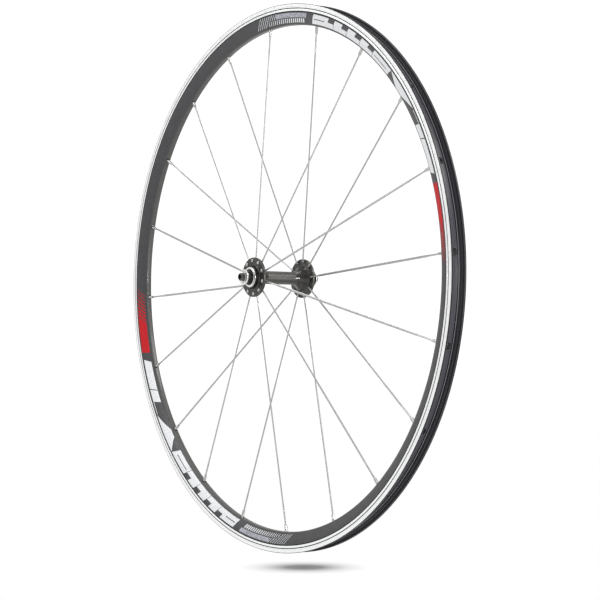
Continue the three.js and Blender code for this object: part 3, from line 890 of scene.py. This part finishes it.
spacer = softened(
    [
        (5.2, 47.95),
        (5.2, 38.55),
        (6.6, 38.55),
        (6.6, 39.2),
        (8, 39.6),
        (8, 42.6),
        (7.7, 42.9),
        (7.7, 43.3),
        (8, 43.6),
        (8, 47.1, 0.6),
        (7.4, 47.95, 0.4),
    ],
    0.2,
)
dust_cap = softened(
    [
        (8.45, 41.7, 0.2),
        (8.45, 38.6),
        (11.7, 38.6),
        (11.7, 40.9, 0.5),
        (10.9, 41.1, 0.4),
        (9.9, 40.95, 0.5),
        (9.2, 41.7, 0.3),
    ],
    0.2,
    4,
)
for side_name, side in SIDES.items():
    rings = [
        ("locknut_fine_", locknut, serrate, 240, BRIGHT_ALLOY, "axle", "polished", "locknut_"),
        ("spacer_fine_", spacer, None, 96, SPACER_BLACK, "axle", "spacer", "spacer_"),
        ("dust_cap_fine_", dust_cap, None, 128, DUST_CAP_ALLOY, "wheel", "polished", "dust_cap_"),
    ]
    for name, loop, reshape, segments, material, body, slot, node in rings:
        skin = turned(for_side(loop, side), segments, reshape)
        add_piece(name + side_name, skin, material, body, slot, node + side_name)

for node_name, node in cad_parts.items():
    if node_name.startswith("bearing_"):
        material = SEAL_RUBBER if "seal" in node_name else BEARING_STEEL
        for material_slot in node.material_slots:
            material_slot.material = material

# ---------------------------------------------------------------- floor, light and camera

FLOOR_Z, FLOOR_R, FLOOR_SIDES = -330, 9000, 96
SHADOW_CENTRE, SHADOW_TURN = (46, 3), 54.74
SHADOW_HALF_LENGTH, SHADOW_HALF_DEPTH = 72, 58


def make_floor():
    """A white sheet that glows, with the soft patch of shade under the wheel drawn on it."""
    nodes = Nodes("floor_white", (0, 0, 0), 0, 1, 0, 0)
    across, ahead = math.cos(math.radians(SHADOW_TURN)), math.sin(math.radians(SHADOW_TURN))
    x = nodes.math("SUBTRACT", nodes.axis("X"), SHADOW_CENTRE[0] * MM)
    y = nodes.math("SUBTRACT", nodes.axis("Y"), SHADOW_CENTRE[1] * MM)
    long_way = nodes.math("ADD", nodes.math("MULTIPLY", x, across), nodes.math("MULTIPLY", y, ahead))
    short_way = nodes.math("SUBTRACT", nodes.math("MULTIPLY", y, across), nodes.math("MULTIPLY", x, ahead))
    long_share = nodes.math("DIVIDE", long_way, SHADOW_HALF_LENGTH * MM)
    short_share = nodes.math("DIVIDE", short_way, SHADOW_HALF_DEPTH * MM)
    squares = [nodes.math("MULTIPLY", share, share) for share in (long_share, short_share)]
    distance = nodes.math("SQRT", nodes.math("ADD", *squares))
    glow = nodes.ramp(distance, (0, 0.24), (0.27, 0.29), (0.45, 0.55), (0.7, 0.83), (1, 1.0))
    nodes.set("Emission Color", glow)
    nodes.shader.inputs["Emission Strength"].default_value = 1
    edge = [polar(FLOOR_R, 0, 360 * i / FLOOR_SIDES) for i in range(FLOOR_SIDES)]
    corners = [Vector((p.x, p.z, FLOOR_Z)) for p in edge]
    floor = make_object("floor", (corners, [tuple(range(FLOOR_SIDES))[::-1]]), [nodes.material])


def make_light(name, position, size, power):
    """A white area light that points at the wheel's centre. Its position and size are in metres."""
    data = bpy.data.lights.new(name, "AREA")
    data.shape = "RECTANGLE"
    data.size, data.size_y = size
    data.energy = power
    lamp = bpy.data.objects.new(name, data)
    lamp.location = position
    lamp.rotation_euler = (-Vector(position)).to_track_quat("-Z", "Y").to_euler()
    bpy.context.scene.collection.objects.link(lamp)


def make_world():
    """A pale studio: lighter above than below, and plain white where it is seen directly."""
    world = bpy.data.worlds.new("studio")
    world.use_nodes = True
    bpy.context.scene.world = world
    tree = world.node_tree
    direction = tree.nodes.new("ShaderNodeTexCoord")
    split = tree.nodes.new("ShaderNodeSeparateXYZ")
    tree.links.new(direction.outputs["Generated"], split.inputs[0])
    ramp = tree.nodes.new("ShaderNodeValToRGB")
    height = tree.nodes.new("ShaderNodeMapRange")
    height.inputs["From Min"].default_value = -1
    tree.links.new(split.outputs["Z"], height.inputs["Value"])
    tree.links.new(height.outputs[0], ramp.inputs[0])
    for element, (position, value) in zip(ramp.color_ramp.elements, ((0.35, 0.4), (0.85, 0.82))):
        element.position = position
        element.color = (value, value, value, 1)
    soft = tree.nodes["Background"]
    tree.links.new(ramp.outputs[0], soft.inputs["Color"])
    white = tree.nodes.new("ShaderNodeBackground")
    white.inputs["Color"].default_value = (1, 1, 1, 1)
    white.inputs["Strength"].default_value = 1.1
    seen = tree.nodes.new("ShaderNodeLightPath")
    mix = tree.nodes.new("ShaderNodeMixShader")
    tree.links.new(seen.outputs["Is Camera Ray"], mix.inputs[0])
    tree.links.new(soft.outputs[0], mix.inputs[1])
    tree.links.new(white.outputs[0], mix.inputs[2])
    tree.links.new(mix.outputs[0], tree.nodes["World Output"].inputs["Surface"])


CAMERA_AZIMUTH, CAMERA_ELEVATION, CAMERA_METRES_AWAY = 54.74, -2.25, 1.96977
CAMERA_LENS, CAMERA_SHIFT = 101.554, (0.0357, -0.0368)


def make_camera():
    """The photo's camera, turned towards the wheel's centre and shifted a little."""
    around, above = math.radians(CAMERA_AZIMUTH), math.radians(CAMERA_ELEVATION)
    back = Vector((math.sin(around) * math.cos(above), -math.cos(around) * math.cos(above), math.sin(above)))
    data = bpy.data.cameras.new("camera")
    data.lens = CAMERA_LENS
    data.sensor_width = 36
    data.shift_x, data.shift_y = CAMERA_SHIFT
    data.clip_start, data.clip_end = 0.01, 100
    camera = bpy.data.objects.new("camera", data)
    camera.location = back * CAMERA_METRES_AWAY
    camera.rotation_euler = back.to_track_quat("Z", "Y").to_euler()
    bpy.context.scene.collection.objects.link(camera)
    bpy.context.scene.camera = camera


make_floor()
make_world()
make_light("key_softbox", (-0.9, -1.9, 1.3), (1.4, 1.4), 17)
make_light("top_softbox", (0.2, 0.1, 1.8), (1.2, 1.2), 11)
make_light("right_softbox", (1.35, 1.3, 1.2), (0.9, 0.8), 13)
make_light("left_fill", (-2.1, -0.95, 0.1), (1.4, 1.4), 1.5)
make_light("right_strip", (2.15, 0.2, 0.02), (1.4, 0.07), 26)
make_camera()
bpy.context.scene.view_settings.view_transform = "Standard"
